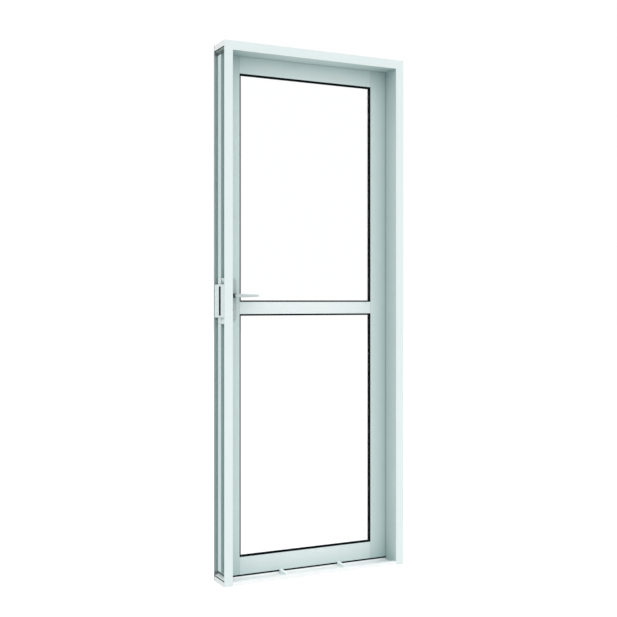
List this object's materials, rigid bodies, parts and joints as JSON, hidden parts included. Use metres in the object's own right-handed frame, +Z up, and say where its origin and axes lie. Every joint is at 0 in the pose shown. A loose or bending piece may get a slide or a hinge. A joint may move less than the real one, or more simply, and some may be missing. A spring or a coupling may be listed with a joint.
{
  "type": "glazed swing door with frame",
  "caption": "Glazed swing door leaf with a middle rail and lever handles, hung in a deep white frame with channelled outer sides and a low sill.",
  "frame": {"origin": "middle of the underside of the sill, midway between the frame's front and rear faces", "axes": "+X towards the hinge side, +Y towards the side that the leaf opens to, +Z up; the front with the deep reveal faces -Y"},
  "size_m": [0.8, 0.163, 2.1],
  "materials": {
    "white_frame": "satin white powder coat, slightly cool",
    "white_moulding": "matt white moulding",
    "white_fittings": "satin white fittings",
    "clear_glass": "clear float glass",
    "black_rubber": "matt black rubber",
    "dark_plastic": "black setting blocks",
    "bare_aluminium": "mill-finish aluminium",
    "nickel_brass": "nickel-plated brass",
    "steel": "zinc-plated steel"
  },
  "bodies": {
    "frame": {"left_jamb": "white_frame", "right_jamb": "white_frame", "head": "white_frame", "corner_cleats": "bare_aluminium", "end_blocks_left": "white_moulding", "end_blocks_right": "white_moulding", "end_seals": "black_rubber", "sill": "white_frame", "sill_screws": "steel", "sill_stops": "white_moulding", "rebate_seal_left": "black_rubber", "rebate_seal_right": "black_rubber", "rebate_seal_top": "black_rubber", "strike_plate": "steel", "strike_box": "white_moulding", "strike_liner": "dark_plastic", "strike_screws": "steel", "hinge_pins": "steel", "hinge_frame_screws": "steel", "hinge_frame_wing_bottom": "white_fittings", "hinge_frame_wing_middle": "white_fittings", "hinge_frame_wing_top": "white_fittings"},
    "leaf": {"lock_stile": "white_frame", "hinge_stile": "white_frame", "top_rail": "white_frame", "mid_rail": "white_frame", "bottom_rail": "white_frame", "rail_cleats": "bare_aluminium", "setting_blocks": "dark_plastic", "bottom_seal": "black_rubber", "lock_case": "steel", "lock_faceplate": "steel", "lock_lugs": "bare_aluminium", "faceplate_screws": "steel", "plate_front": "white_fittings", "plate_rear": "white_fittings", "plate_screws": "steel", "cylinder_body": "nickel_brass", "cylinder_screw": "steel", "hinge_leaf_screws": "steel", "hinge_leaf_wing_bottom": "white_fittings", "hinge_leaf_wing_middle": "white_fittings", "hinge_leaf_wing_top": "white_fittings", "glass_lower": "clear_glass", "glass_upper": "clear_glass", "front_gasket_lower": "black_rubber", "front_gasket_upper": "black_rubber", "rear_gasket_lower": "black_rubber", "rear_gasket_upper": "black_rubber", "beads_lower": "white_frame", "beads_upper": "white_frame"},
    "lever_set": {"lever_front": "white_fittings", "lever_rear": "white_fittings", "lever_bushes": "dark_plastic", "spindle": "steel", "follower": "steel"},
    "latch": {"latch_bolt": "steel"},
    "bolt": {"deadbolt": "steel"},
    "key_plug": {"cylinder_plugs": "nickel_brass", "cylinder_cam": "steel"}
  },
  "joints": [
    {"name": "leaf_swing", "type": "hinge", "parent": "frame", "child": "leaf", "pos_m": [0.3755, 0.064, 1.05], "axis": [0, 0, -1], "range_deg": [0, 105]},
    {"name": "lever_turn", "type": "hinge", "parent": "leaf", "child": "lever_set", "pos_m": [-0.333, 0.043, 1.119], "axis": [0, 1, 0], "range_deg": [0, 45], "stiffness_Nm_per_rad": 1.2, "springref_deg": -17.19},
    {"name": "latch_slide", "type": "slide", "parent": "leaf", "child": "latch", "axis": [1, 0, 0], "range_m": [0, 0.012]},
    {"name": "key_turn", "type": "hinge", "parent": "leaf", "child": "key_plug", "pos_m": [-0.333, 0.043, 1.064], "axis": [0, 1, 0], "range_deg": [0, 180]},
    {"name": "bolt_slide", "type": "slide", "parent": "leaf", "child": "bolt", "axis": [-1, 0, 0], "range_m": [0, 0.014]}
  ],
  "couplings": [
    {"joint": "latch_slide", "follows": "lever_turn", "m_per_rad": 0.015278},
    {"joint": "key_turn", "follows": "bolt_slide", "rad_per_m": 224.4}
  ]
}
